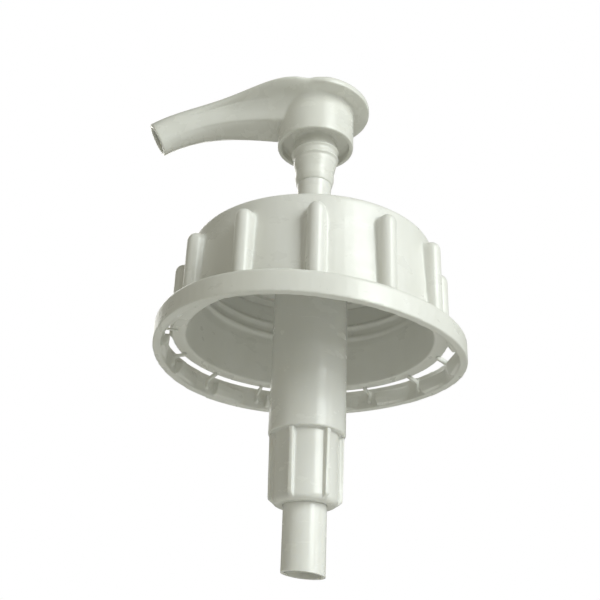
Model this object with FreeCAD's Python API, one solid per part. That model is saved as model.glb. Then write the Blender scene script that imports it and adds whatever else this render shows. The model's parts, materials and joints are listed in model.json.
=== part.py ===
import FreeCAD, Part
import math
import os

# Condiment pump dispenser for a wide-mouth jar.
# Millimetres. The origin is the centre of the cap liner's underside, where the jar rim seals.
# +Z points up to the press head, and the spout points along -X.

V = FreeCAD.Vector
UP = V(0, 0, 1)
CENTRE = V(0, 0, 0)

# ---------------------------------------------------------------- driving dimensions

# closure cap
CAP_UNDERSIDE_Z = 1.4
CAP_TOP_Z = 3.4
CAP_BOTTOM_Z = -35.2
CAP_TOP_R = 48.2
CAP_FOOT_R = 50.2
CAP_EDGE_ROUND = 2.4
CAP_INNER_R = 45.2
CAP_MOUTH_R = 47.8
CAP_THREADED_DEPTH = 20.0
CAP_HOLE_R = 15.9
CAP_LIP_R = 53.3
CAP_LIP_THICK = 1.2
GRIP_RIB_COUNT = 12
GRIP_RIB_R = 3.3
GRIP_RIB_CREST_R = 54.6
GRIP_RIB_ROOT_R = 48.0
GRIP_RIB_TOP_Z = -3.2
GRIP_RIB_PHASE_DEG = -88.8

# jar thread inside the cap
JAR_THREAD_CREST_R = 43.8
JAR_THREAD_PITCH = 5.08
JAR_THREAD_TURNS = 2.0
JAR_THREAD_TOP_Z = -5.0
JAR_THREAD_BASE = 3.0
JAR_THREAD_CREST = 1.2

# tamper-evident band
BAND_BOTTOM_Z = -43.4
BAND_TOP_Z = -34.4
BAND_OUTER_R = 60.0
BAND_INNER_R = 56.9
BAND_EDGE_ROUND = 1.8
BAND_TILT = 0.030
BAND_TWIST = 0.050
BAND_STATION_DEG = 15
TOOTH_COUNT = 14
TOOTH_PHASE_DEG = -96.3
TOOTH_SPAN_DEG = 17.0
TOOTH_TIP_R = 53.7
TOOTH_LEAD_R = 55.2
TOOTH_BOTTOM_Z = -42.4
TOOTH_LEAD_Z = -40.0
TOOTH_TOP_Z = -37.2
TOOTH_ROOT_SINK = 0.4
BRIDGE_THICK = 1.3
BRIDGE_AFTER_TOOTH_DEG = 3.9
BRIDGE_INNER_R = 50.9
BRIDGE_LIP_R = 53.1
BRIDGE_WALL_R = 55.6
BRIDGE_SLANT = 1.0
BRIDGE_DEPTH = 1.2

# liner and flange gasket
LINER_INNER_R = 39.5
LINER_OUTER_R = 45.0
GASKET_INNER_R = 16.0
GASKET_OUTER_R = 21.0
GASKET_TOP_Z = 1.3
GASKET_BOTTOM_Z = 0.0

# pump housing
BORE_R = 13.0
HOUSING_R = 14.4
HOUSING_BOTTOM_Z = -72.8
FLANGE_R = 21.5
FLANGE_THICK = 2.1
NECK_R = 15.6
NECK_TOP_Z = 9.2
SNAP_BEAD_Z = 6.4
SNAP_BEAD_R = 0.55
HOUSING_END_ROUND = 0.6

# lock collar on top of the cap
COLLAR_BOTTOM_Z = 3.5
COLLAR_TOP_Z = 17.0
COLLAR_SKIRT_R = 18.4
COLLAR_SHOULDER_Z = 11.6
COLLAR_BOSS_R = 13.7
COLLAR_KNURL_COUNT = 36
COLLAR_KNURL_R = 0.55
COLLAR_KNURL_MARGIN = 0.8
LOCK_THREAD_ROOT_R = 10.5
LOCK_THREAD_CREST_R = 9.5
LOCK_THREAD_PITCH = 4.0
LOCK_THREAD_BASE = 1.6
LOCK_THREAD_CREST = 0.7
COLLAR_THREAD_RISE = 1.1
COLLAR_THREAD_TURNS = 1.0
PLUG_THREAD_RISE = 0.8

# stem guide: a sleeve clamped under the collar
GUIDE_OUTER_R = 12.9
GUIDE_INNER_R = 9.7
GUIDE_BOTTOM_Z = -6.0
GUIDE_FLOOR_THICK = 2.0
GUIDE_FLANGE_R = 15.5
GUIDE_FLANGE_THICK = 1.2
GUIDE_HOLE_R = 7.06

# stem
STEM_R = 7.0
STEM_BORE_R = 4.6
STEM_SHOULDER_R = 7.3
STEM_CONE_Z = 33.5
STEM_SPIGOT_R = 6.55
STEM_TOP_Z = 62.0
STEM_BOTTOM_Z = -14.0
STEM_NECK_R = 5.9
STEM_NECK_Z = -9.0

# wiper seal round the stem
WIPER_OUTER_R = 9.7
WIPER_GROOVE_R = 8.0
WIPER_INNER_R = 7.05
WIPER_HEIGHT = 2.6

# press head
DISC_R = 23.2
DISC_TOP_Z = 77.8
DISC_THICK = 3.4
DISC_CROWN = 0.9
DISC_ROUND = 1.4
DISC_SLOPE_DEG = 1.5
DISC_ROOT_OVERLAP = 0.5
SKIRT_R = 16.3
SKIRT_WALL = 1.8
SKIRT_BOTTOM_Z = 56.0
SKIRT_CEILING_Z = 59.0
PLUG_R = 9.1
PLUG_BOTTOM_Z = 47.2
PLUG_WAIST_R = 8.2
PLUG_WAIST_TOP_Z = 43.0
PLUG_WAIST_Z = 39.4
PLUG_TIP_R = 7.5
PLUG_TIP_Z = 36.8
PLUG_THREAD_R = 10.1
PLUG_THREAD_TURNS = 2.1
RISER_TOP_Z = 72.2

# spout, drawn through stations along a curved centre line
SPOUT_ROOT = V(-1.0, 0, 71.6)
SPOUT_ROOT_PULL = V(-22.0, 0, 71.0)
SPOUT_TIP_PULL = V(-50.0, 0, 71.8)
SPOUT_TIP = V(-68.5, 0, 58.4)
SPOUT_STATIONS = 11
SPOUT_ROOT_RUN = 0.14
SPOUT_ROOT_HALF_WIDTH = 23.15
SPOUT_ROOT_HALF_HEIGHT = 7.0
SPOUT_MID_HALF_HEIGHT = 6.3
SPOUT_BELLY_ROOT = 9.6
SPOUT_BELLY_TIP = 6.2
SPOUT_TIP_R = 7.3
SPOUT_FLARE_POWER = 1.5
SPOUT_DROOP_DEG = 30.5
SPOUT_CHANNEL_R = 4.0
SPOUT_OUTLET_R = 5.6
SPOUT_OUTLET_DEPTH = 9.0

# piston, riding on the stem
PISTON_R = 12.95
PISTON_LIP_THICK = 0.9
PISTON_WEB_TOP_Z = -13.2
PISTON_WEB_THICK = 3.0
PISTON_TOP_Z = -9.4
PISTON_BOTTOM_Z = -20.0
PISTON_INNER_R = 7.55

# piston carrier, pressed onto the stem's lower neck
CARRIER_R = 7.5
CARRIER_FLANGE_R = 10.4
CARRIER_FLANGE_THICK = 1.6
CARRIER_BOTTOM_Z = -24.4
CARRIER_TOP_Z = -9.0
CARRIER_BORE_R = 5.2
CARRIER_SEAT_HOLE_R = 3.0

# balls
OUTLET_BALL_R = 4.0
OUTLET_BALL_LIFT = 3.5
INLET_BALL_R = 5.2
INLET_BALL_LIFT = 4.0
SEAT_GAP = 0.02

# outlet ball stop, a cross set into the stem's lower bore
STOP_ARM_THICK = 1.2
STOP_HEIGHT = 4.0

# return spring
SPRING_MEAN_R = 9.6
SPRING_WIRE_R = 0.7
SPRING_COILS = 8.0
SPRING_CLOSED_TURNS = 1.0
SPRING_CLOSED_PITCH = 1.6
SPRING_GAP = 0.02

# foot valve body
FOOT_SPIGOT_TOP_Z = -64.6
FOOT_SPIGOT_INNER_R = 10.6
FOOT_R = 12.0
FOOT_WALL = 1.5
FOOT_BOTTOM_Z = -98.8
FOOT_FLOOR = 1.8
FOOT_ROUND = 2.0
FOOT_RIB_COUNT = 6
FOOT_RIB_THICK = 1.8
FOOT_RIB_TOP_R = 13.95
FOOT_RIB_BOTTOM_R = 13.5
FOOT_RIB_PHASE_DEG = -55.0
FOOT_RIB_SINK = 0.5
FOOT_RIB_TOE = 1.0
FOOT_RIB_LIFT = 0.4
SOCKET_WALL = 1.5
SOCKET_TOP_Z = -84.0
SEAT_HOLE_R = 4.0
SEAT_MOUTH_R = 6.4
SEAT_DEPTH = 2.4
SHOULDER_THICK = 2.2
FOOT_SEAL_Z = -68.4
FOOT_SEAL_R = 0.72
FOOT_GROOVE_HEIGHT = 1.7
FOOT_GROOVE_DEPTH = 1.5

# ball cage in the top of the foot valve body
CAGE_RING_WALL = 2.0
CAGE_HUB_R = 3.2
CAGE_ARM_THICK = 2.0
CAGE_ARM_COUNT = 4
CAGE_PLATE_THICK = 2.2

# dip tube
TUBE_R = 7.9
TUBE_BORE_R = 6.7
TUBE_BOTTOM_Z = -123.4
TUBE_CUT_DEG = 5.0
TUBE_WASTE = 20.0

# clearance drawn between two parts that are pressed together
PRESS_GAP = 0.05

# ---------------------------------------------------------------- helpers


def turned(points):
    """A solid of revolution about Z from (radius, height) corners."""
    corners = [V(r, 0, z) for r, z in points]
    face = Part.Face(Part.makePolygon(corners + corners[:1]))
    return face.revolve(CENTRE, UP, 360)


def ring(inner_r, outer_r, bottom_z, top_z):
    """A plain ring or tube."""
    return turned([(inner_r, bottom_z), (outer_r, bottom_z), (outer_r, top_z), (inner_r, top_z)])


def rod(radius, bottom_z, top_z):
    """A plain upright cylinder on the axis."""
    return Part.makeCylinder(radius, top_z - bottom_z, V(0, 0, bottom_z), UP)


def rounded(shape, radius, z, r, tolerance=0.05):
    """Round the circular edges that lie at one height and radius."""
    edges = []
    for edge in shape.Edges:
        box = edge.BoundBox
        level = abs(box.ZMin - z) < tolerance and abs(box.ZMax - z) < tolerance
        wide = abs(box.XMax - r) < tolerance
        if level and wide:
            edges.append(edge)
    return shape.makeFillet(radius, edges)


def polar(radius, degrees, z=0.0):
    """A point at a radius and an angle from +X, counter-clockwise from above."""
    angle = math.radians(degrees)
    return V(radius * math.cos(angle), radius * math.sin(angle), z)


def repeated(shape, count, phase_deg=0.0):
    """Copies of one shape turned evenly about Z."""
    copies = []
    for index in range(count):
        copy = shape.copy()
        copy.rotate(CENTRE, UP, phase_deg + index * 360.0 / count)
        copies.append(copy)
    return copies


def joined(shapes):
    """Fuse a list of shapes and drop the seams between flush faces."""
    return shapes[0].fuse(shapes[1:]).removeSplitter()


def thread_ridge(wall_r, crest_r, bottom_z, pitch, turns, base, crest):
    """One helical ridge. Both its ends sink into the wall it grows from."""
    height = crest_r - wall_r
    side = math.copysign(1.0, height)
    bury = 0.25 * side
    per_turn = 24
    steps = int(turns * per_turn)
    fade = per_turn // 4
    points = []
    for step in range(steps + 1):
        from_end = min(step, steps - step, fade) / fade
        sink = (1.0 - from_end) * (height + bury)
        angle = 360.0 * step / per_turn
        points.append(polar(wall_r - sink, angle, bottom_z + pitch * step / per_turn))
    path = Part.BSplineCurve()
    path.interpolate(points)
    start = points[0]
    out = V(start.x, start.y, 0).normalize()
    corners = [
        start - out * bury + UP * (base / 2),
        start + out * height + UP * (crest / 2),
        start + out * height - UP * (crest / 2),
        start - out * bury - UP * (base / 2),
    ]
    profile = Part.makePolygon(corners + corners[:1])
    pipe = Part.BRepOffsetAPI.MakePipeShell(Part.Wire(path.toShape()))
    pipe.setBiNormalMode(UP)
    pipe.add(profile, False, False)
    pipe.build()
    pipe.makeSolid()
    return pipe.shape()


def spring_height(turn, rise):
    """Height of the spring's wire after some turns. Both end coils lie nearly closed."""
    closed = SPRING_CLOSED_TURNS
    closed_rise = SPRING_CLOSED_PITCH * closed
    if turn <= closed:
        return SPRING_CLOSED_PITCH * turn
    if turn >= SPRING_COILS - closed:
        return rise - SPRING_CLOSED_PITCH * (SPRING_COILS - turn)
    share = (turn - closed) / (SPRING_COILS - 2 * closed)
    return closed_rise + share * (rise - 2 * closed_rise)


def save(shape, node):
    """Write one node as one closed solid."""
    solids = shape.Solids
    assert len(solids) == 1, node + " has %d solids" % len(solids)
    solid = solids[0]
    if solid.Volume < 0:
        solid.reverse()
    assert solid.isValid(), node + " is not valid"
    solid.exportStep("parts/" + node + ".step")


os.makedirs("parts", exist_ok=True)

# ---------------------------------------------------------------- closure cap

lip_top_z = CAP_BOTTOM_Z + CAP_LIP_THICK
cap = turned([
    (CAP_HOLE_R, CAP_UNDERSIDE_Z),
    (CAP_INNER_R, CAP_UNDERSIDE_Z),
    (CAP_INNER_R, CAP_UNDERSIDE_Z - CAP_THREADED_DEPTH),
    (CAP_MOUTH_R, CAP_BOTTOM_Z),
    (CAP_LIP_R, CAP_BOTTOM_Z),
    (CAP_LIP_R, lip_top_z),
    (CAP_FOOT_R, lip_top_z + CAP_LIP_THICK),
    (CAP_TOP_R, CAP_TOP_Z),
    (CAP_HOLE_R, CAP_TOP_Z),
])
cap = rounded(cap, CAP_EDGE_ROUND, CAP_TOP_Z, CAP_TOP_R)

# a grip rib is an upright bar with a round crest and a round top, growing out of the skirt
rib_foot = V(GRIP_RIB_CREST_R - GRIP_RIB_R, 0, lip_top_z)
rib_head = V(rib_foot.x, 0, GRIP_RIB_TOP_Z - GRIP_RIB_R)
rib_height = rib_head.z - rib_foot.z
rib_depth = rib_foot.x - GRIP_RIB_ROOT_R
rib = Part.makeCylinder(GRIP_RIB_R, rib_height, rib_foot, UP)
rib_body = Part.makeBox(rib_depth, 2 * GRIP_RIB_R, rib_height, V(GRIP_RIB_ROOT_R, -GRIP_RIB_R, rib_foot.z))
rib_top = Part.makeCylinder(GRIP_RIB_R, rib_depth, V(GRIP_RIB_ROOT_R, 0, rib_head.z), V(1, 0, 0))
rib = rib.fuse([rib_body, rib_top, Part.makeSphere(GRIP_RIB_R, rib_head)]).removeSplitter()
rib = rib.cut(rod(CAP_TOP_R - 1.0, CAP_BOTTOM_Z, CAP_TOP_Z))
jar_thread = thread_ridge(
    CAP_INNER_R, JAR_THREAD_CREST_R, JAR_THREAD_TOP_Z - JAR_THREAD_PITCH * JAR_THREAD_TURNS,
    JAR_THREAD_PITCH, JAR_THREAD_TURNS, JAR_THREAD_BASE, JAR_THREAD_CREST)
cap = joined([cap, jar_thread] + repeated(rib, GRIP_RIB_COUNT, GRIP_RIB_PHASE_DEG))
save(cap, "closure_cap")

# ---------------------------------------------------------------- tamper-evident band


def band_sag(degrees):
    """How far the thin band has bent out of level at one angle: it hangs at +X, most at the front."""
    angle = math.radians(degrees)
    return -BAND_OUTER_R * math.cos(angle) * (BAND_TILT - BAND_TWIST * math.sin(angle))


def band_section(degrees):
    """The band's cross-section at one angle, with its top outer edge rounded."""
    bottom_z = BAND_BOTTOM_Z + band_sag(degrees)
    top_z = BAND_TOP_Z + band_sag(degrees)
    round_z = top_z - BAND_EDGE_ROUND
    round_r = BAND_OUTER_R - BAND_EDGE_ROUND
    bulge = BAND_EDGE_ROUND * math.sqrt(0.5)
    inner_top = polar(BAND_INNER_R, degrees, top_z)
    inner_bottom = polar(BAND_INNER_R, degrees, bottom_z)
    outer_bottom = polar(BAND_OUTER_R, degrees, bottom_z)
    round_start = polar(BAND_OUTER_R, degrees, round_z)
    round_middle = polar(round_r + bulge, degrees, round_z + bulge)
    round_end = polar(round_r, degrees, top_z)
    return Part.Wire([
        Part.makeLine(inner_top, inner_bottom),
        Part.makeLine(inner_bottom, outer_bottom),
        Part.makeLine(outer_bottom, round_start),
        Part.Arc(round_start, round_middle, round_end).toShape(),
        Part.makeLine(round_end, inner_top),
    ])


def tooth_outline(tip_r, z):
    """Plan of one ratchet tooth: it ramps inwards and ends in a square face."""
    sunk_r = BAND_INNER_R + TOOTH_ROOT_SINK
    corners = [
        polar(sunk_r, -TOOTH_SPAN_DEG, z),
        polar(sunk_r, -TOOTH_SPAN_DEG / 2, z),
        polar(sunk_r, 0, z),
        polar(tip_r, 0, z),
    ]
    return Part.makePolygon(corners + corners[:1])


def bridge(degrees):
    """One thin fin from the cap's lip to the band, at one angle."""
    sag = band_sag(degrees)
    sunk_r = BAND_INNER_R + TOOTH_ROOT_SINK
    side = -BRIDGE_THICK / 2
    corners = [
        V(BRIDGE_INNER_R, side, CAP_BOTTOM_Z),
        V(BRIDGE_LIP_R, side, CAP_BOTTOM_Z),
        V(sunk_r, side, CAP_BOTTOM_Z - BRIDGE_SLANT + sag),
        V(sunk_r, side, TOOTH_BOTTOM_Z + BRIDGE_SLANT + sag),
        V(BRIDGE_WALL_R, side, TOOTH_BOTTOM_Z + 2 * BRIDGE_SLANT + sag),
        V(BRIDGE_WALL_R, side, TOOTH_TOP_Z - BRIDGE_DEPTH / 2 + sag),
        V(BRIDGE_INNER_R, side, CAP_BOTTOM_Z - BRIDGE_DEPTH),
    ]
    fin = Part.Face(Part.makePolygon(corners + corners[:1])).extrude(V(0, BRIDGE_THICK, 0))
    fin.rotate(CENTRE, UP, degrees)
    return fin


lead_in = Part.makeLoft(
    [tooth_outline(TOOTH_LEAD_R, TOOTH_BOTTOM_Z), tooth_outline(TOOTH_TIP_R, TOOTH_LEAD_Z)], True, True)
tooth_body = Part.Face(tooth_outline(TOOTH_TIP_R, TOOTH_LEAD_Z)).extrude(UP * (TOOTH_TOP_Z - TOOTH_LEAD_Z))
tooth = lead_in.fuse(tooth_body)

band_sections = [band_section(degrees) for degrees in range(0, 360, BAND_STATION_DEG)]
band_parts = [Part.makeLoft(band_sections, True, False, True)]
for index in range(TOOTH_COUNT):
    face_deg = TOOTH_PHASE_DEG + index * 360.0 / TOOTH_COUNT
    placed = tooth.copy()
    placed.rotate(CENTRE, UP, face_deg)
    placed.translate(UP * band_sag(face_deg - TOOTH_SPAN_DEG / 2))
    band_parts.append(placed)
    band_parts.append(bridge(face_deg + BRIDGE_AFTER_TOOTH_DEG))
save(joined(band_parts), "tamper_band")

# ---------------------------------------------------------------- liner and gasket

save(ring(LINER_INNER_R, LINER_OUTER_R, 0, CAP_UNDERSIDE_Z), "cap_liner")
save(ring(GASKET_INNER_R, GASKET_OUTER_R, GASKET_BOTTOM_Z, GASKET_TOP_Z), "flange_gasket")

# ---------------------------------------------------------------- pump housing

housing = turned([
    (BORE_R, HOUSING_BOTTOM_Z),
    (HOUSING_R, HOUSING_BOTTOM_Z),
    (HOUSING_R, -FLANGE_THICK - 1.5),
    (HOUSING_R + 1.5, -FLANGE_THICK),
    (FLANGE_R, -FLANGE_THICK),
    (FLANGE_R, GASKET_BOTTOM_Z),
    (NECK_R, GASKET_BOTTOM_Z),
    (NECK_R, NECK_TOP_Z),
    (BORE_R, NECK_TOP_Z),
])
housing = rounded(housing, HOUSING_END_ROUND, HOUSING_BOTTOM_Z, HOUSING_R)
snap_bead = Part.makeTorus(NECK_R, SNAP_BEAD_R, V(0, 0, SNAP_BEAD_Z), UP)
housing = joined([housing, snap_bead])
save(housing, "pump_housing")

# ---------------------------------------------------------------- lock collar

guide_flange_top_z = NECK_TOP_Z + GUIDE_FLANGE_THICK
collar = turned([
    (NECK_R + PRESS_GAP, COLLAR_BOTTOM_Z),
    (COLLAR_SKIRT_R, COLLAR_BOTTOM_Z),
    (COLLAR_SKIRT_R, COLLAR_SHOULDER_Z),
    (COLLAR_SKIRT_R - 1.2, COLLAR_SHOULDER_Z + 1.0),
    (COLLAR_BOSS_R, COLLAR_SHOULDER_Z + 1.0),
    (COLLAR_BOSS_R, COLLAR_TOP_Z - 0.8),
    (COLLAR_BOSS_R - 0.8, COLLAR_TOP_Z),
    (LOCK_THREAD_ROOT_R + 0.6, COLLAR_TOP_Z),
    (LOCK_THREAD_ROOT_R, COLLAR_TOP_Z - 0.6),
    (LOCK_THREAD_ROOT_R, guide_flange_top_z),
    (NECK_R + PRESS_GAP, guide_flange_top_z),
])
snap_groove = Part.makeTorus(NECK_R + PRESS_GAP, SNAP_BEAD_R + PRESS_GAP, V(0, 0, SNAP_BEAD_Z), UP)
collar = collar.cut(snap_groove)
knurl_foot = V(COLLAR_SKIRT_R, 0, COLLAR_BOTTOM_Z + COLLAR_KNURL_MARGIN)
knurl_height = COLLAR_SHOULDER_Z - COLLAR_BOTTOM_Z - 2 * COLLAR_KNURL_MARGIN
knurl = Part.makeCylinder(COLLAR_KNURL_R, knurl_height, knurl_foot, UP)
lock_ridge = thread_ridge(
    LOCK_THREAD_ROOT_R, LOCK_THREAD_CREST_R, guide_flange_top_z + COLLAR_THREAD_RISE,
    LOCK_THREAD_PITCH, COLLAR_THREAD_TURNS, LOCK_THREAD_BASE, LOCK_THREAD_CREST)
collar = joined([collar, lock_ridge] + repeated(knurl, COLLAR_KNURL_COUNT))
save(collar, "lock_collar")

# ---------------------------------------------------------------- stem guide and wiper

guide_floor_top_z = GUIDE_BOTTOM_Z + GUIDE_FLOOR_THICK
guide = turned([
    (GUIDE_HOLE_R, GUIDE_BOTTOM_Z),
    (GUIDE_OUTER_R - 0.8, GUIDE_BOTTOM_Z),
    (GUIDE_OUTER_R, GUIDE_BOTTOM_Z + 0.8),
    (GUIDE_OUTER_R, NECK_TOP_Z),
    (GUIDE_FLANGE_R, NECK_TOP_Z),
    (GUIDE_FLANGE_R, guide_flange_top_z),
    (GUIDE_INNER_R, guide_flange_top_z),
    (GUIDE_INNER_R, guide_floor_top_z),
    (GUIDE_HOLE_R, guide_floor_top_z),
])
save(guide, "stem_guide")

wiper_top_z = guide_floor_top_z + WIPER_HEIGHT
wiper = turned([
    (WIPER_GROOVE_R, guide_floor_top_z),
    (WIPER_OUTER_R, guide_floor_top_z),
    (WIPER_OUTER_R, wiper_top_z),
    (WIPER_OUTER_R - 0.7, wiper_top_z),
    (WIPER_OUTER_R - 0.9, guide_floor_top_z + 1.2),
    (WIPER_GROOVE_R, guide_floor_top_z + 1.2),
    (WIPER_INNER_R + 0.5, wiper_top_z),
    (WIPER_INNER_R, wiper_top_z),
    (WIPER_INNER_R, wiper_top_z - 0.5),
])
save(wiper, "stem_wiper")

# ---------------------------------------------------------------- stem

stem = turned([
    (STEM_BORE_R, STEM_BOTTOM_Z),
    (STEM_NECK_R, STEM_BOTTOM_Z),
    (STEM_NECK_R, STEM_NECK_Z),
    (STEM_R, STEM_NECK_Z),
    (STEM_R, STEM_CONE_Z),
    (STEM_SHOULDER_R, PLUG_TIP_Z),
    (STEM_SPIGOT_R, PLUG_TIP_Z),
    (STEM_SPIGOT_R, STEM_TOP_Z),
    (STEM_BORE_R, STEM_TOP_Z),
])
save(stem, "stem")

# ---------------------------------------------------------------- press head with spout


def bezier(start, pull_start, pull_end, end, t):
    """A point on the cubic curve that the spout's centre line follows."""
    s = 1.0 - t
    return start * s ** 3 + pull_start * (3 * s * s * t) + pull_end * (3 * s * t * t) + end * t ** 3


def ease(t):
    return t * t * (3.0 - 2.0 * t)


def blend(a, b, t):
    return a + (b - a) * t


def spout_outline(t):
    """Half outline of the spout at one station, from the crown round to the belly.

    Each entry is (sideways, upwards) from the centre line. The root is a wide crowned
    plate over a narrow trough, and the outline turns into a circle towards the tip.
    """
    t = max(0.0, (t - SPOUT_ROOT_RUN) / (1.0 - SPOUT_ROOT_RUN))
    width = SPOUT_TIP_R + (SPOUT_ROOT_HALF_WIDTH - SPOUT_TIP_R) * (1.0 - ease(t)) ** SPOUT_FLARE_POWER
    half = blend(SPOUT_ROOT_HALF_HEIGHT, SPOUT_MID_HALF_HEIGHT, min(1.0, 2.0 * t))
    half = blend(half, SPOUT_TIP_R, ease(t))
    belly = blend(SPOUT_BELLY_ROOT, SPOUT_BELLY_TIP, t)
    trough = [
        (0.0, half),
        (0.50 * width, 0.97 * half),
        (0.88 * width, 0.86 * half),
        (width, 0.65 * half),
        (0.93 * width, 0.44 * half),
        (blend(width, belly, 0.55), 0.26 * half),
        (belly + 0.9, -0.40 * half),
        (belly - 0.6, -0.86 * half),
        (0.50 * belly, -0.99 * half),
        (0.0, -half),
    ]
    roundness = ease(t)
    outline = []
    for index, (side, rise) in enumerate(trough):
        angle = math.pi * index / (len(trough) - 1)
        circle = (SPOUT_TIP_R * math.sin(angle), SPOUT_TIP_R * math.cos(angle))
        outline.append((blend(side, circle[0], roundness), blend(rise, circle[1], roundness)))
    return outline


def spout_wire(t):
    """The closed outline of one station, placed on its leaning plane."""
    centre = bezier(SPOUT_ROOT, SPOUT_ROOT_PULL, SPOUT_TIP_PULL, SPOUT_TIP, t)
    tilt = math.radians(SPOUT_DROOP_DEG) * ease(t)
    upwards = V(-math.sin(tilt), 0, math.cos(tilt))
    half_outline = spout_outline(t)
    mirrored = [(-side, rise) for side, rise in half_outline[-2:0:-1]]
    points = [centre + upwards * rise + V(0, side, 0) for side, rise in half_outline + mirrored]
    curve = Part.BSplineCurve()
    curve.interpolate(Points=points, PeriodicFlag=True)
    return Part.Wire(curve.toShape())


stations = [index / (SPOUT_STATIONS - 1) for index in range(SPOUT_STATIONS)]
spout = Part.makeLoft([spout_wire(t) for t in stations], True, False)

# the press disc slopes down towards the back, and its front half is the spout's own root
disc_bottom_z = DISC_TOP_Z - DISC_THICK
disc = turned([
    (0, disc_bottom_z),
    (DISC_R, disc_bottom_z),
    (DISC_R, DISC_TOP_Z),
    (0, DISC_TOP_Z),
])
disc = rounded(disc, DISC_ROUND, DISC_TOP_Z, DISC_R)
crown_base_r = DISC_R - DISC_ROUND
crown_sphere_r = (crown_base_r ** 2 + DISC_CROWN ** 2) / (2 * DISC_CROWN)
crown = Part.makeSphere(crown_sphere_r, V(0, 0, DISC_TOP_Z + DISC_CROWN - crown_sphere_r))
crown = crown.common(rod(crown_base_r, DISC_TOP_Z - DISC_THICK / 2, DISC_TOP_Z + 2 * DISC_CROWN))
disc = disc.fuse(crown)
below_disc = rod(2 * DISC_R, SKIRT_BOTTOM_Z - 2 * DISC_R, DISC_TOP_Z - DISC_THICK / 2)
for sloped in (disc, below_disc):
    sloped.rotate(V(0, 0, DISC_TOP_Z), V(0, 1, 0), DISC_SLOPE_DEG)
back_half = Part.makeBox(2 * DISC_R, 4 * DISC_R, 2 * DISC_R)
back_half.translate(V(SPOUT_ROOT.x - DISC_ROOT_OVERLAP, -2 * DISC_R, SKIRT_BOTTOM_Z))
skirt = rod(SKIRT_R, SKIRT_BOTTOM_Z, DISC_TOP_Z).common(below_disc)
head = joined([disc.common(back_half), skirt, spout])
skirt_hollow = rod(SKIRT_R - SKIRT_WALL, SKIRT_BOTTOM_Z - 1.0, SKIRT_CEILING_Z)
head = head.cut(skirt_hollow)

plug = turned([
    (0, PLUG_TIP_Z),
    (PLUG_TIP_R, PLUG_TIP_Z),
    (PLUG_WAIST_R, PLUG_WAIST_Z),
    (PLUG_WAIST_R, PLUG_WAIST_TOP_Z),
    (PLUG_R, PLUG_BOTTOM_Z),
    (PLUG_R, SKIRT_CEILING_Z + 0.5),
    (0, SKIRT_CEILING_Z + 0.5),
])
plug_ridge = thread_ridge(
    PLUG_R, PLUG_THREAD_R, PLUG_BOTTOM_Z + PLUG_THREAD_RISE,
    LOCK_THREAD_PITCH, PLUG_THREAD_TURNS, LOCK_THREAD_BASE, LOCK_THREAD_CREST)
plug_ridge.rotate(CENTRE, UP, 180)
head = joined([head, plug, plug_ridge])

droop = math.radians(SPOUT_DROOP_DEG)
outlet_axis = V(-math.cos(droop), 0, -math.sin(droop))
centre_line = Part.BezierCurve()
centre_line.setPoles([SPOUT_ROOT, SPOUT_ROOT_PULL, SPOUT_TIP_PULL, SPOUT_TIP])
channel_end = Part.Circle(SPOUT_ROOT, SPOUT_ROOT_PULL - SPOUT_ROOT, SPOUT_CHANNEL_R)
channel_path = Part.Wire(centre_line.toShape())
channel = channel_path.makePipeShell([Part.Wire(channel_end.toShape())], True, False)
entry = Part.makeCylinder(SPOUT_CHANNEL_R, -SPOUT_ROOT.x, V(0, 0, SPOUT_ROOT.z), V(-1, 0, 0))
outlet_start = SPOUT_TIP - outlet_axis * SPOUT_OUTLET_DEPTH
outlet = Part.makeCylinder(SPOUT_OUTLET_R, 2 * SPOUT_OUTLET_DEPTH, outlet_start, outlet_axis)
head = head.cut(entry.fuse([channel, outlet]))
socket = rod(STEM_SPIGOT_R + PRESS_GAP, PLUG_TIP_Z - 1.0, STEM_TOP_Z)
riser = rod(STEM_BORE_R, STEM_TOP_Z - 1.0, RISER_TOP_Z)
head = head.cut([socket, riser])
save(head, "actuator_head")

# ---------------------------------------------------------------- piston and its carrier

piston_web_bottom_z = PISTON_WEB_TOP_Z - PISTON_WEB_THICK
piston = turned([
    (PISTON_INNER_R, piston_web_bottom_z),
    (PISTON_R - 2.2, piston_web_bottom_z),
    (PISTON_R - PISTON_LIP_THICK, PISTON_BOTTOM_Z),
    (PISTON_R, PISTON_BOTTOM_Z),
    (PISTON_R, PISTON_BOTTOM_Z + 1.2),
    (PISTON_R - 0.4, PISTON_BOTTOM_Z + 2.2),
    (PISTON_R - 0.4, PISTON_TOP_Z - 2.2),
    (PISTON_R, PISTON_TOP_Z - 1.2),
    (PISTON_R, PISTON_TOP_Z),
    (PISTON_R - PISTON_LIP_THICK, PISTON_TOP_Z),
    (PISTON_R - 2.2, PISTON_WEB_TOP_Z),
    (PISTON_INNER_R, PISTON_WEB_TOP_Z),
])
save(piston, "piston_seal")

carrier_flange_top_z = piston_web_bottom_z - 0.1
seat_z = CARRIER_BOTTOM_Z + 1.2 + CARRIER_BORE_R - CARRIER_SEAT_HOLE_R
carrier = turned([
    (CARRIER_SEAT_HOLE_R, CARRIER_BOTTOM_Z),
    (CARRIER_R, CARRIER_BOTTOM_Z),
    (CARRIER_R, carrier_flange_top_z - CARRIER_FLANGE_THICK),
    (CARRIER_FLANGE_R, carrier_flange_top_z - CARRIER_FLANGE_THICK),
    (CARRIER_FLANGE_R, carrier_flange_top_z),
    (CARRIER_R, carrier_flange_top_z),
    (CARRIER_R, CARRIER_TOP_Z),
    (STEM_NECK_R + PRESS_GAP, CARRIER_TOP_Z),
    (STEM_NECK_R + PRESS_GAP, STEM_BOTTOM_Z),
    (CARRIER_BORE_R, STEM_BOTTOM_Z),
    (CARRIER_BORE_R, seat_z),
    (CARRIER_SEAT_HOLE_R, CARRIER_BOTTOM_Z + 1.2),
])
save(carrier, "piston_carrier")

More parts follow.
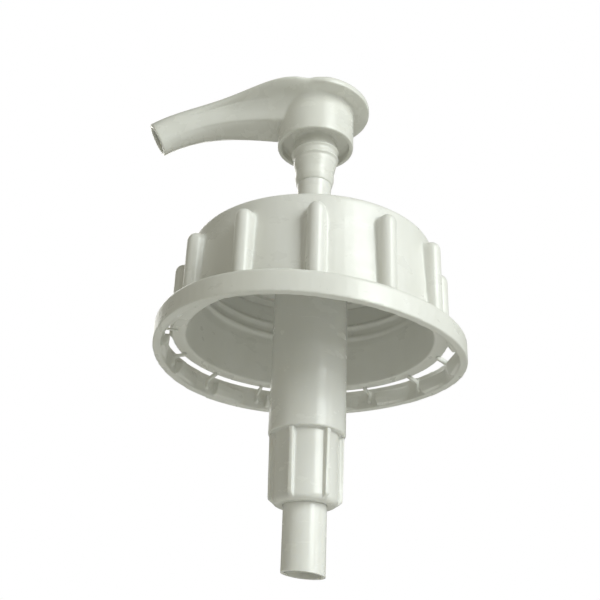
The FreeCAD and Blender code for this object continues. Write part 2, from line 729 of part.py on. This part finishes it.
# the seat is a 45 degree cone, so a ball touches it at 0.7 of its radius
outlet_ball_z = CARRIER_BOTTOM_Z + 1.2 - CARRIER_SEAT_HOLE_R + OUTLET_BALL_R * math.sqrt(2) + SEAT_GAP
save(Part.makeSphere(OUTLET_BALL_R, V(0, 0, outlet_ball_z)), "outlet_ball")

stop_bottom_z = outlet_ball_z + OUTLET_BALL_R + OUTLET_BALL_LIFT + SEAT_GAP
arm_corner = V(-STEM_BORE_R, -STOP_ARM_THICK / 2, stop_bottom_z)
arm = Part.makeBox(2 * STEM_BORE_R, STOP_ARM_THICK, STOP_HEIGHT, arm_corner)
stop_rod = rod(STEM_BORE_R - PRESS_GAP, stop_bottom_z, stop_bottom_z + STOP_HEIGHT)
cross = joined(repeated(arm, 4)[:2]).common(stop_rod)
save(cross, "outlet_ball_stop")

# ---------------------------------------------------------------- foot valve body

socket_r = TUBE_R + SOCKET_WALL
tube_top_z = SOCKET_TOP_Z - SEAT_DEPTH - SHOULDER_THICK
spigot_r = BORE_R - PRESS_GAP
groove_bottom_z = FOOT_SEAL_Z - FOOT_GROOVE_HEIGHT / 2
foot = turned([
    (TUBE_R + PRESS_GAP, FOOT_BOTTOM_Z),
    (FOOT_R, FOOT_BOTTOM_Z),
    (FOOT_R, HOUSING_BOTTOM_Z),
    (spigot_r, HOUSING_BOTTOM_Z),
    (spigot_r, groove_bottom_z),
    (spigot_r - FOOT_GROOVE_DEPTH, groove_bottom_z),
    (spigot_r - FOOT_GROOVE_DEPTH, groove_bottom_z + FOOT_GROOVE_HEIGHT),
    (spigot_r, groove_bottom_z + FOOT_GROOVE_HEIGHT),
    (spigot_r, FOOT_SPIGOT_TOP_Z),
    (FOOT_SPIGOT_INNER_R, FOOT_SPIGOT_TOP_Z),
    (FOOT_SPIGOT_INNER_R, HOUSING_BOTTOM_Z),
    (FOOT_R - FOOT_WALL, HOUSING_BOTTOM_Z - 1.0),
    (FOOT_R - FOOT_WALL, FOOT_BOTTOM_Z + FOOT_FLOOR),
    (socket_r, FOOT_BOTTOM_Z + FOOT_FLOOR),
    (socket_r, SOCKET_TOP_Z),
    (SEAT_MOUTH_R, SOCKET_TOP_Z),
    (SEAT_HOLE_R, SOCKET_TOP_Z - SEAT_DEPTH),
    (SEAT_HOLE_R, tube_top_z),
    (TUBE_R + PRESS_GAP, tube_top_z),
])
foot = rounded(foot, FOOT_ROUND, FOOT_BOTTOM_Z, FOOT_R)
rib_sunk_r = FOOT_R - FOOT_RIB_SINK
rib_toe_r = rib_sunk_r - FOOT_RIB_TOE
rib_toe_z = FOOT_BOTTOM_Z + FOOT_RIB_LIFT
rib_heel_z = FOOT_BOTTOM_Z + FOOT_FLOOR
foot_rib_corners = [
    V(rib_sunk_r, -FOOT_RIB_THICK / 2, HOUSING_BOTTOM_Z),
    V(FOOT_RIB_TOP_R, -FOOT_RIB_THICK / 2, HOUSING_BOTTOM_Z),
    V(FOOT_RIB_BOTTOM_R, -FOOT_RIB_THICK / 2, FOOT_BOTTOM_Z + FOOT_ROUND),
    V(FOOT_RIB_BOTTOM_R - FOOT_ROUND, -FOOT_RIB_THICK / 2, rib_toe_z),
    V(rib_toe_r, -FOOT_RIB_THICK / 2, rib_toe_z),
    V(rib_toe_r, -FOOT_RIB_THICK / 2, rib_heel_z - FOOT_RIB_LIFT / 2),
    V(rib_sunk_r, -FOOT_RIB_THICK / 2, rib_heel_z + 2 * FOOT_RIB_LIFT),
]
foot_rib = Part.Face(Part.makePolygon(foot_rib_corners + foot_rib_corners[:1]))
foot_rib = foot_rib.extrude(V(0, FOOT_RIB_THICK, 0))
foot = joined([foot] + repeated(foot_rib, FOOT_RIB_COUNT, FOOT_RIB_PHASE_DEG))
save(foot, "foot_valve_body")
save(Part.makeTorus(spigot_r - FOOT_SEAL_R, FOOT_SEAL_R, V(0, 0, FOOT_SEAL_Z), UP), "foot_seal_ring")

tube = ring(TUBE_BORE_R, TUBE_R, TUBE_BOTTOM_Z - TUBE_WASTE / 4, tube_top_z)
cut_slope = math.tan(math.radians(TUBE_CUT_DEG))
waste = Part.makeBox(3 * TUBE_WASTE, 3 * TUBE_WASTE, TUBE_WASTE)
waste.translate(V(-1.5 * TUBE_WASTE, -1.5 * TUBE_WASTE, -TUBE_WASTE))
waste.rotate(CENTRE, V(0, 1, 0), TUBE_CUT_DEG)
waste.translate(V(0, 0, TUBE_BOTTOM_Z + TUBE_R * cut_slope))
save(tube.cut(waste), "dip_tube")

inlet_ball_z = SOCKET_TOP_Z - SEAT_DEPTH - SEAT_HOLE_R + INLET_BALL_R * math.sqrt(2) + SEAT_GAP
save(Part.makeSphere(INLET_BALL_R, V(0, 0, inlet_ball_z)), "inlet_ball")

# ---------------------------------------------------------------- ball cage

cage_bottom_z = inlet_ball_z + INLET_BALL_R + INLET_BALL_LIFT + SEAT_GAP
cage_r = FOOT_SPIGOT_INNER_R - PRESS_GAP
cage = ring(cage_r - CAGE_RING_WALL, cage_r, cage_bottom_z, FOOT_SPIGOT_TOP_Z)
hub = rod(CAGE_HUB_R, cage_bottom_z, cage_bottom_z + CAGE_PLATE_THICK)
cage_arm_corner = V(0, -CAGE_ARM_THICK / 2, cage_bottom_z)
cage_arm = Part.makeBox(cage_r - CAGE_RING_WALL / 2, CAGE_ARM_THICK, CAGE_PLATE_THICK, cage_arm_corner)
cage = joined([cage, hub] + repeated(cage_arm, CAGE_ARM_COUNT))
save(cage, "ball_cage")

# ---------------------------------------------------------------- return spring

# it stands on the cage ring and pushes up on the carrier's flange
spring_bottom_z = FOOT_SPIGOT_TOP_Z + SPRING_GAP + SPRING_WIRE_R
spring_top_z = carrier_flange_top_z - CARRIER_FLANGE_THICK - SPRING_GAP - SPRING_WIRE_R
spring_rise = spring_top_z - spring_bottom_z
coil_points = []
spring_steps = int(SPRING_COILS * 16)
for step in range(spring_steps + 1):
    turn = SPRING_COILS * step / spring_steps
    coil_points.append(polar(SPRING_MEAN_R, 360.0 * turn, spring_bottom_z + spring_height(turn, spring_rise)))
coil = Part.BSplineCurve()
coil.interpolate(coil_points)
wire_circle = Part.Circle(coil_points[0], coil_points[1] - coil_points[0], SPRING_WIRE_R)
spring = Part.Wire(coil.toShape()).makePipeShell([Part.Wire(wire_circle.toShape())], True, True)
save(spring, "return_spring")
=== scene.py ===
import json
import math

import bmesh
import bpy
from mathutils import Matrix, Vector


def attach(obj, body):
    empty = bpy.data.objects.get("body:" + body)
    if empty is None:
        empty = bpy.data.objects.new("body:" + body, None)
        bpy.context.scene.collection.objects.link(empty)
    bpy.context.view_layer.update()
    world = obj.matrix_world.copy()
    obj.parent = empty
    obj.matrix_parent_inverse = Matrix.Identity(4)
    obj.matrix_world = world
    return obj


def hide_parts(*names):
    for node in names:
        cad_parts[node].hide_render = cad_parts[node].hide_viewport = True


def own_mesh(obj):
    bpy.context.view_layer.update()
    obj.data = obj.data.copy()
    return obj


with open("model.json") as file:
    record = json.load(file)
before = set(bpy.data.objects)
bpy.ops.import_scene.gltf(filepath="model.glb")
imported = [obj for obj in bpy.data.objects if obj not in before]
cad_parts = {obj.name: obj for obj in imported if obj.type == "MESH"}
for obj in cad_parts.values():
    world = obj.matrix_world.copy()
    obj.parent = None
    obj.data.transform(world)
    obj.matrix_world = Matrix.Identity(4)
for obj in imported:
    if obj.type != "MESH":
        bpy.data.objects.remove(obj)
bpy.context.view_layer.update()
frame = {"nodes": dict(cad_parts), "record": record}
MM = 0.001

# ---------------------------------------------------------------- camera

CAMERA_PLACE = Vector((-0.0002, -0.3309, -0.18025))
CAMERA_YAW = -0.0125
CAMERA_PITCH = 0.4593
CAMERA_ROLL = 0.0350
CAMERA_LENS_MM = 55.87
SENSOR_MM = 36.0


def add_camera():
    forward = Vector((
        math.sin(CAMERA_YAW) * math.cos(CAMERA_PITCH),
        math.cos(CAMERA_YAW) * math.cos(CAMERA_PITCH),
        math.sin(CAMERA_PITCH)))
    level_right = Vector((math.cos(CAMERA_YAW), -math.sin(CAMERA_YAW), 0.0))
    level_up = level_right.cross(forward)
    right = math.cos(CAMERA_ROLL) * level_right + math.sin(CAMERA_ROLL) * level_up
    up = math.cos(CAMERA_ROLL) * level_up - math.sin(CAMERA_ROLL) * level_right
    turn = Matrix((right, up, -forward)).transposed().to_4x4()
    data = bpy.data.cameras.new("camera")
    data.lens = CAMERA_LENS_MM
    data.sensor_width = SENSOR_MM
    data.clip_start = 0.01
    camera = bpy.data.objects.new("camera", data)
    camera.matrix_world = Matrix.Translation(CAMERA_PLACE) @ turn
    bpy.context.scene.collection.objects.link(camera)
    bpy.context.scene.camera = camera


add_camera()

# ---------------------------------------------------------------- light and floor

FLOOR_Z = -0.42
FLOOR_SIZE = 6.0
ROOM_COLOUR = (1.0, 0.985, 0.82, 1.0)
ROOM_STRENGTH = 0.22
FLOOR_COLOUR = (0.82, 0.82, 0.80, 1.0)
FLOOR_ROUGHNESS = 0.9


def add_area_light(name, place, target, size, power, colour):
    data = bpy.data.lights.new(name, "AREA")
    data.shape = "RECTANGLE"
    data.size = size[0]
    data.size_y = size[1]
    data.energy = power
    data.color = colour
    light = bpy.data.objects.new(name, data)
    aim = Vector(target) - Vector(place)
    light.rotation_euler = aim.to_track_quat("-Z", "Y").to_euler()
    light.location = place
    bpy.context.scene.collection.objects.link(light)


def add_world():
    """A white backdrop for the camera, and a dimmer warm grey room for everything else."""
    world = bpy.data.worlds.new("studio")
    world.use_nodes = True
    nodes = world.node_tree.nodes
    links = world.node_tree.links
    nodes.clear()
    seen = nodes.new("ShaderNodeBackground")
    seen.inputs["Color"].default_value = (1.0, 1.0, 1.0, 1.0)
    lit = nodes.new("ShaderNodeBackground")
    lit.inputs["Color"].default_value = ROOM_COLOUR
    lit.inputs["Strength"].default_value = ROOM_STRENGTH
    path = nodes.new("ShaderNodeLightPath")
    mix = nodes.new("ShaderNodeMixShader")
    out = nodes.new("ShaderNodeOutputWorld")
    links.new(path.outputs["Is Camera Ray"], mix.inputs["Fac"])
    links.new(lit.outputs["Background"], mix.inputs[1])
    links.new(seen.outputs["Background"], mix.inputs[2])
    links.new(mix.outputs["Shader"], out.inputs["Surface"])
    bpy.context.scene.world = world


def add_floor():
    mesh = bpy.data.meshes.new("floor")
    half = FLOOR_SIZE / 2
    corners = [(x, y, FLOOR_Z) for x, y in ((-half, -half), (half, -half), (half, half), (-half, half))]
    mesh.from_pydata(corners, [], [(0, 1, 2, 3)])
    floor = bpy.data.objects.new("floor", mesh)
    bpy.context.scene.collection.objects.link(floor)
    material = bpy.data.materials.new("floor_paper")
    material.use_nodes = True
    shader = material.node_tree.nodes["Principled BSDF"]
    shader.inputs["Base Color"].default_value = FLOOR_COLOUR
    shader.inputs["Roughness"].default_value = FLOOR_ROUGHNESS
    mesh.materials.append(material)


# name, place, target, size, watts and colour of each light
LIGHTS = (
    ("window", (0.58, -0.64, 0.34), (0.0, 0.0, -0.02), (0.42, 0.62), 6.3, (0.95, 1.0, 0.99)),
    ("side_strip", (0.80, -0.32, 0.10), (0.0, 0.0, 0.0), (0.10, 0.70), 1.3, (0.97, 1.0, 1.0)),
    ("left_fill", (-0.62, -0.58, 0.22), (0.0, 0.0, 0.0), (0.60, 0.60), 0.65, (1.0, 0.98, 0.86)),
    ("rear_fill", (-0.30, 0.95, 0.60), (0.0, 0.0, 0.0), (0.90, 0.60), 4.0, (1.0, 1.0, 0.97)),
)

add_world()
add_floor()
for light in LIGHTS:
    add_area_light(*light)
bpy.context.scene.view_settings.view_transform = "Standard"

# ---------------------------------------------------------------- materials


PLASTIC_IOR = 1.49
MILK_RADIUS = (1.0, 0.95, 0.8)
MILK_DEPTH_MM = 1.2
GRAIN_TURN = (0.3, 0.5, 0.2)


class Graph:
    """Short calls for wiring one material's nodes."""

    def __init__(self, name):
        self.material = bpy.data.materials.new(name)
        self.material.use_nodes = True
        self.nodes = self.material.node_tree.nodes
        self.links = self.material.node_tree.links
        self.shader = self.nodes["Principled BSDF"]
        self.place = self.nodes.new("ShaderNodeTexCoord").outputs["Object"]

    def noise(self, scale, detail=2.0, roughness=0.5, stretch=None):
        """Noise with features about 1/scale metres across, drawn out along an axis by stretch."""
        texture = self.nodes.new("ShaderNodeTexNoise")
        texture.inputs["Scale"].default_value = scale
        texture.inputs["Detail"].default_value = detail
        texture.inputs["Roughness"].default_value = roughness
        place = self.place
        if stretch:
            mapping = self.nodes.new("ShaderNodeMapping")
            mapping.inputs["Rotation"].default_value = GRAIN_TURN
            mapping.inputs["Scale"].default_value = stretch
            self.links.new(place, mapping.inputs["Vector"])
            place = mapping.outputs["Vector"]
        self.links.new(place, texture.inputs["Vector"])
        return texture.outputs["Fac"]

    def spread(self, value, low, high, to_low, to_high):
        """Map low..high of a value to to_low..to_high, clamped."""
        node = self.nodes.new("ShaderNodeMapRange")
        node.inputs["From Min"].default_value = low
        node.inputs["From Max"].default_value = high
        node.inputs["To Min"].default_value = to_low
        node.inputs["To Max"].default_value = to_high
        self.links.new(value, node.inputs["Value"])
        return node.outputs["Result"]

    def combine(self, operation, a, b):
        """Join two values, or a value and a number, by one Math operation."""
        node = self.nodes.new("ShaderNodeMath")
        node.operation = operation
        for index, value in enumerate((a, b)):
            if isinstance(value, float):
                node.inputs[index].default_value = value
            else:
                self.links.new(value, node.inputs[index])
        return node.outputs["Value"]

    def tint(self, share, colour_a, colour_b):
        """Mix two colours, each a tuple or another node's output."""
        node = self.nodes.new("ShaderNodeMix")
        node.data_type = "RGBA"
        self.links.new(share, node.inputs["Factor"])
        for socket, colour in (("A", colour_a), ("B", colour_b)):
            target = [s for s in node.inputs if s.name == socket and s.type == "RGBA"][0]
            if isinstance(colour, tuple):
                target.default_value = (*colour, 1.0)
            else:
                self.links.new(colour, target)
        return [s for s in node.outputs if s.type == "RGBA"][0]

    def bump(self, height, distance_mm, strength, under=None):
        """Turn a height into a normal, on top of another bump if there is one."""
        node = self.nodes.new("ShaderNodeBump")
        node.inputs["Distance"].default_value = distance_mm * MM
        node.inputs["Strength"].default_value = strength
        self.links.new(height, node.inputs["Height"])
        if under is not None:
            self.links.new(under, node.inputs["Normal"])
        return node.outputs["Normal"]


def moulded_plastic(name, clean, aged, roughness, milkiness):
    """Glossy moulded polypropylene, slightly uneven in colour and gloss.

    It has soft flow marks, a fine skin, hairline scratches, paler edges, and painted shade that darkens its
    hollows and corners.
    """
    g = Graph(name)
    flow = g.noise(38.0, 3.0, 0.55, (1.0, 1.0, 0.35))
    skin = g.noise(1500.0, 3.0, 0.6)
    smear = g.noise(90.0, 4.0, 0.6, (1.0, 0.45, 1.6))
    hair = g.noise(240.0, 2.0, 0.5, (0.06, 3.0, 3.0))
    scratch = g.spread(hair, 0.69, 0.74, 0.0, 1.0)
    shape = g.nodes.new("ShaderNodeNewGeometry")
    edge = g.spread(shape.outputs["Pointiness"], 0.52, 0.60, 0.0, 0.55)
    # painted shade: a share that rises where pointiness is low, in hollows and corners
    hollow = g.spread(shape.outputs["Pointiness"], 0.40, 0.48, 0.6, 0.0)
    base = g.tint(g.spread(flow, 0.35, 0.68, 0.0, 1.0), clean, aged)
    rubbed = g.tint(edge, base, tuple(min(1.0, c * 1.06) for c in clean))
    # painted shade: the colour in those hollows is the aged tone darkened to 0.86
    painted_hollow_shade = g.tint(hollow, rubbed, tuple(c * 0.86 for c in aged))
    g.links.new(painted_hollow_shade, g.shader.inputs["Base Color"])
    gloss = g.spread(smear, 0.30, 0.72, roughness - 0.06, roughness + 0.10)
    gloss = g.combine("ADD", gloss, g.combine("MULTIPLY", scratch, 0.12))
    g.links.new(gloss, g.shader.inputs["Roughness"])
    normal = g.bump(flow, 0.25, 0.2)
    normal = g.bump(skin, 0.015, 0.3, normal)
    normal = g.bump(scratch, 0.008, 0.3, normal)
    g.links.new(normal, g.shader.inputs["Normal"])
    g.shader.inputs["IOR"].default_value = PLASTIC_IOR
    g.shader.inputs["Subsurface Weight"].default_value = milkiness
    g.shader.inputs["Subsurface Radius"].default_value = MILK_RADIUS
    g.shader.inputs["Subsurface Scale"].default_value = MILK_DEPTH_MM * MM
    return g.material


def soft_rubber(name, colour, roughness):
    """A matt seal or foam with a fine grain."""
    g = Graph(name)
    grain = g.noise(1400.0, 4.0, 0.65)
    cloud = g.noise(120.0, 2.0, 0.5)
    pale = tuple(min(1.0, c * 1.12) for c in colour)
    g.links.new(g.tint(g.spread(cloud, 0.35, 0.65, 0.0, 1.0), colour, pale), g.shader.inputs["Base Color"])
    g.links.new(g.spread(grain, 0.3, 0.7, roughness - 0.1, roughness + 0.1), g.shader.inputs["Roughness"])
    g.links.new(g.bump(grain, 0.06, 0.6), g.shader.inputs["Normal"])
    return g.material


def polished_steel(name):
    """Bright stainless steel with fine lapping marks."""
    g = Graph(name)
    lapping = g.noise(2200.0, 3.0, 0.6, (1.0, 0.2, 1.0))
    g.shader.inputs["Metallic"].default_value = 1.0
    tone = g.tint(g.noise(200.0, 2.0), (0.60, 0.60, 0.59), (0.68, 0.68, 0.67))
    g.links.new(tone, g.shader.inputs["Base Color"])
    g.links.new(g.spread(lapping, 0.3, 0.7, 0.14, 0.28), g.shader.inputs["Roughness"])
    g.links.new(g.bump(lapping, 0.01, 0.3), g.shader.inputs["Normal"])
    return g.material


FINISHES = {
    "cap_plastic": moulded_plastic("cap_white", (0.80, 0.80, 0.765), (0.76, 0.76, 0.71), 0.30, 0.12),
    "head_plastic": moulded_plastic("head_white", (0.79, 0.79, 0.75), (0.75, 0.75, 0.70), 0.25, 0.15),
    "housing_plastic": moulded_plastic("housing_white", (0.82, 0.82, 0.79), (0.78, 0.78, 0.74), 0.22, 0.35),
    "liner_foam": soft_rubber("liner_white", (0.70, 0.70, 0.66), 0.75),
    "seal_rubber": soft_rubber("seal_grey", (0.10, 0.10, 0.10), 0.55),
    "soft_seal": soft_rubber("soft_white", (0.72, 0.72, 0.68), 0.45),
    "ball_steel": polished_steel("ball_bright"),
    "spring_steel": polished_steel("spring_bright"),
}
SLOT_OF = {part["node"]: part.get("material_slot") for part in frame["record"]["subparts"]}

# ---------------------------------------------------------------- moulded pieces


def smoothed(piece, passes, weigh=None):
    """Smooth a piece's mesh, everywhere or as much as weigh says for each point."""
    smooth = piece.modifiers.new("smooth", "SMOOTH")
    smooth.factor = SMOOTH_FACTOR
    smooth.iterations = passes
    if weigh:
        group = piece.vertex_groups.new(name="zone")
        for vertex in piece.data.vertices:
            weight = weigh(vertex.co / MM)
            if weight > 0.0:
                group.add([vertex.index], weight, "REPLACE")
        smooth.vertex_group = group.name
    apply_modifiers(piece)
    piece.vertex_groups.clear()


def apply_modifiers(piece):
    """Replace a piece's mesh by what its modifiers make of it."""
    graph = bpy.context.evaluated_depsgraph_get()
    finished = bpy.data.meshes.new_from_object(piece.evaluated_get(graph))
    piece.modifiers.clear()
    piece.data = finished


def soften(node, body, voxel_mm, passes, blend_zone=None, sculpt=None):
    """A moulded stand-in for one CAD node: the same shape with small fillets in every corner.

    A blend zone is smoothed further, and a sculpt function moves single points of the result.
    """
    mesh = frame["nodes"][node].data.copy()
    build = bmesh.new()
    build.from_mesh(mesh)
    bmesh.ops.remove_doubles(build, verts=build.verts, dist=WELD_DISTANCE)
    build.to_mesh(mesh)
    build.free()
    piece = bpy.data.objects.new(node + "_moulded", mesh)
    bpy.context.scene.collection.objects.link(piece)
    remesh = piece.modifiers.new("skin", "REMESH")
    remesh.mode = "VOXEL"
    remesh.voxel_size = voxel_mm * MM
    apply_modifiers(piece)
    smoothed(piece, passes)
    if blend_zone:
        smoothed(piece, BLEND_PASSES, blend_zone)
    finished = piece.data
    finished.materials.clear()
    for face in finished.polygons:
        face.use_smooth = True
    if sculpt:
        for vertex in finished.vertices:
            vertex.co = sculpt(vertex.co / MM) * MM
        finished.update()
    finish(piece, node)
    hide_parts(node)
    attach(piece, body)


def finish(piece, node):
    """Give a piece the finish of its node's material slot."""
    slot = SLOT_OF[node]
    piece.data.materials.clear()
    piece.data.materials.append(FINISHES[slot])


# the spout's centre line, as the CAD draws it, in millimetres
SPOUT_LINE = ((-1.0, 71.6), (-22.0, 71.0), (-50.0, 71.8), (-68.5, 58.4))
SPOUT_HALF_HEIGHT = 6.5
SPOUT_BELLY_HALF_WIDTH = (9.6, 6.2)
SPOUT_LOOKUP_STEPS = 60
WELD_DISTANCE = 1e-6
SMOOTH_FACTOR = 0.5
BLEND_PASSES = 120
BLEND_PLATEAU = 1.5
DISC_SEAM_X = -1.5
DISC_SEAM_REACH = 7.0
DISC_SEAM_LOW_Z = 71.0
CREASE_RISE = 1.7
CREASE_SOFTNESS = 0.55
CREASE_DEPTH = 0.75
CREASE_FROM_X = -17.5
CREASE_FADE_X = -60.0
CREASE_START_RUN = 4.0
CREASE_END_SHARE = 0.4
CHANNEL_CLEAR = 5.2
BELLY_INSET = 0.45
BELLY_RIM = 1.1
BELLY_TOP_SHARE = -0.6


def spout_point(t):
    """A point (x, z) on the centre line."""
    u = 1.0 - t
    weights = (u ** 3, 3 * u * u * t, 3 * u * t * t, t ** 3)
    return tuple(sum(w * pole[axis] for w, pole in zip(weights, SPOUT_LINE)) for axis in (0, 1))


SPOUT_POINTS = [spout_point(step / SPOUT_LOOKUP_STEPS) for step in range(SPOUT_LOOKUP_STEPS + 1)]


def spout_height(x):
    """Height of the centre line at one x."""
    for (x_a, z_a), (x_b, z_b) in zip(SPOUT_POINTS, SPOUT_POINTS[1:]):
        if x_b <= x <= x_a:
            return z_a + (z_b - z_a) * (x_a - x) / (x_a - x_b)
    return SPOUT_POINTS[-1][1]


def smooth_step(value):
    value = max(0.0, min(1.0, value))
    return value * value * (3.0 - 2.0 * value)


def disc_seam(point):
    """How much to melt one point into its surroundings where the spout's root meets the disc."""
    near = smooth_step(BLEND_PLATEAU * (1.0 - abs(point.x - DISC_SEAM_X) / DISC_SEAM_REACH))
    return near * smooth_step(point.z - DISC_SEAM_LOW_Z)


def crease_spout(point):
    """Press a moulding crease along each side of the spout, and sink its flat underside a little."""
    if point.x > CREASE_FROM_X or abs(point.y) > 3 * SPOUT_BELLY_HALF_WIDTH[0]:
        return point
    along = (CREASE_FROM_X - point.x) / (CREASE_FROM_X - CREASE_FADE_X)
    strength = smooth_step((CREASE_FROM_X - point.x) / CREASE_START_RUN)
    strength *= smooth_step((1.0 - along) / CREASE_END_SHARE)
    rise = point.z - spout_height(point.x)
    moved = point.copy()
    if abs(point.y) > CHANNEL_CLEAR:
        depth = CREASE_DEPTH * strength * math.exp(-((rise - CREASE_RISE) / CREASE_SOFTNESS) ** 2)
        moved.y -= math.copysign(depth, point.y)
    belly = SPOUT_BELLY_HALF_WIDTH[0] + (SPOUT_BELLY_HALF_WIDTH[1] - SPOUT_BELLY_HALF_WIDTH[0]) * along
    inside = smooth_step((belly - BELLY_RIM - abs(point.y)) / BELLY_RIM)
    under = smooth_step((BELLY_TOP_SHARE * SPOUT_HALF_HEIGHT - rise) / BELLY_RIM)
    moved.z += BELLY_INSET * strength * inside * under
    return moved


for node, piece in frame["nodes"].items():
    piece.data.materials.clear()
    piece.data.materials.append(FINISHES[SLOT_OF[node]])

soften("closure_cap", "closure", 0.5, 5)
soften("tamper_band", "closure", 0.4, 4)
soften("actuator_head", "plunger", 0.4, 6, disc_seam, crease_spout)
soften("lock_collar", "pump_body", 0.35, 3)
soften("foot_valve_body", "pump_body", 0.35, 4)


def squashed_spring():
    """The return spring as a piece of its own, standing on the ball cage."""
    spring = bpy.data.objects.new("return_spring_coil", frame["nodes"]["return_spring"].data.copy())
    bpy.context.scene.collection.objects.link(spring)
    finish(spring, "return_spring")
    for face in spring.data.polygons:
        face.use_smooth = True
    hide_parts("return_spring")
    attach(spring, "pump_body")
    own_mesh(spring)


squashed_spring()
